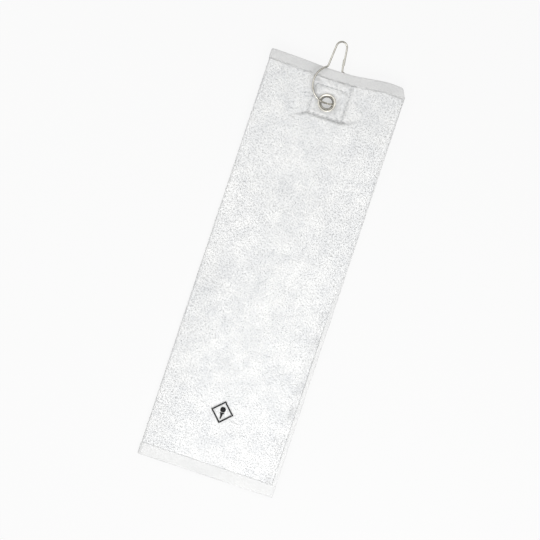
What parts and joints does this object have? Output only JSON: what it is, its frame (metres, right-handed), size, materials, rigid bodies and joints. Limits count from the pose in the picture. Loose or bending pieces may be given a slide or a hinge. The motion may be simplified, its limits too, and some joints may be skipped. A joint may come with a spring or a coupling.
{
  "type": "golf towel",
  "caption": "White terry golf towel folded in thirds and sewn at the top, with a metal eyelet and a sprung wire clip that hangs it from a bag.",
  "frame": {"origin": "bottom centre of the bounding box, on the surface that the towel lies on", "axes": "+Y along the towel towards its clip end, +Z out of its visible face, +X to the right seen from above"},
  "size_m": [0.133, 0.4269, 0.0181],
  "materials": {
    "terry": "looped cotton pile",
    "flat_weave": "flat woven cotton",
    "thread": "matte thread",
    "nickel": "bright nickel plate",
    "embroidery": "satin stitch"
  },
  "bodies": {
    "towel": {"back_panel": "terry", "middle_flap": "terry", "front_top": "terry", "left_fold": "terry", "right_fold": "terry", "top_hem_back": "flat_weave", "top_hem_middle": "flat_weave", "top_hem_front": "flat_weave", "bottom_hem_back": "flat_weave", "bottom_hem_middle": "flat_weave", "side_hem_middle": "flat_weave", "side_hem_front_top": "flat_weave", "box_stitching": "thread", "top_hem_stitching": "thread", "eyelet": "nickel", "washer": "nickel"},
    "flap": {"front_flap": "terry", "bottom_hem_front": "flat_weave", "side_hem_front_flap": "flat_weave", "bottom_hem_stitching": "thread", "side_hem_stitching": "thread", "emblem": "embroidery"},
    "clip": {"clip_hook": "nickel"},
    "gate": {"clip_gate": "nickel"}
  },
  "joints": [
    {"name": "flap_fold", "type": "hinge", "parent": "towel", "child": "flap", "pos_m": [-0.0622, 0, 0.00505], "axis": [0, -1, 0], "range_deg": [0, 45]},
    {"name": "clip_swivel", "type": "hinge", "parent": "towel", "child": "clip", "pos_m": [-0.0016, 0.15355, 0.00905], "axis": [-0.0645, 0.9979, 0], "range_deg": [0, 124]},
    {"name": "gate_spring", "type": "hinge", "parent": "clip", "child": "gate", "pos_m": [-0.00152, 0.15235, 0.00905], "axis": [0.4375, 0.0283, 0.8988], "range_deg": [0, 8], "stiffness_Nm_per_rad": 0.1, "springref_deg": -2.86}
  ]
}
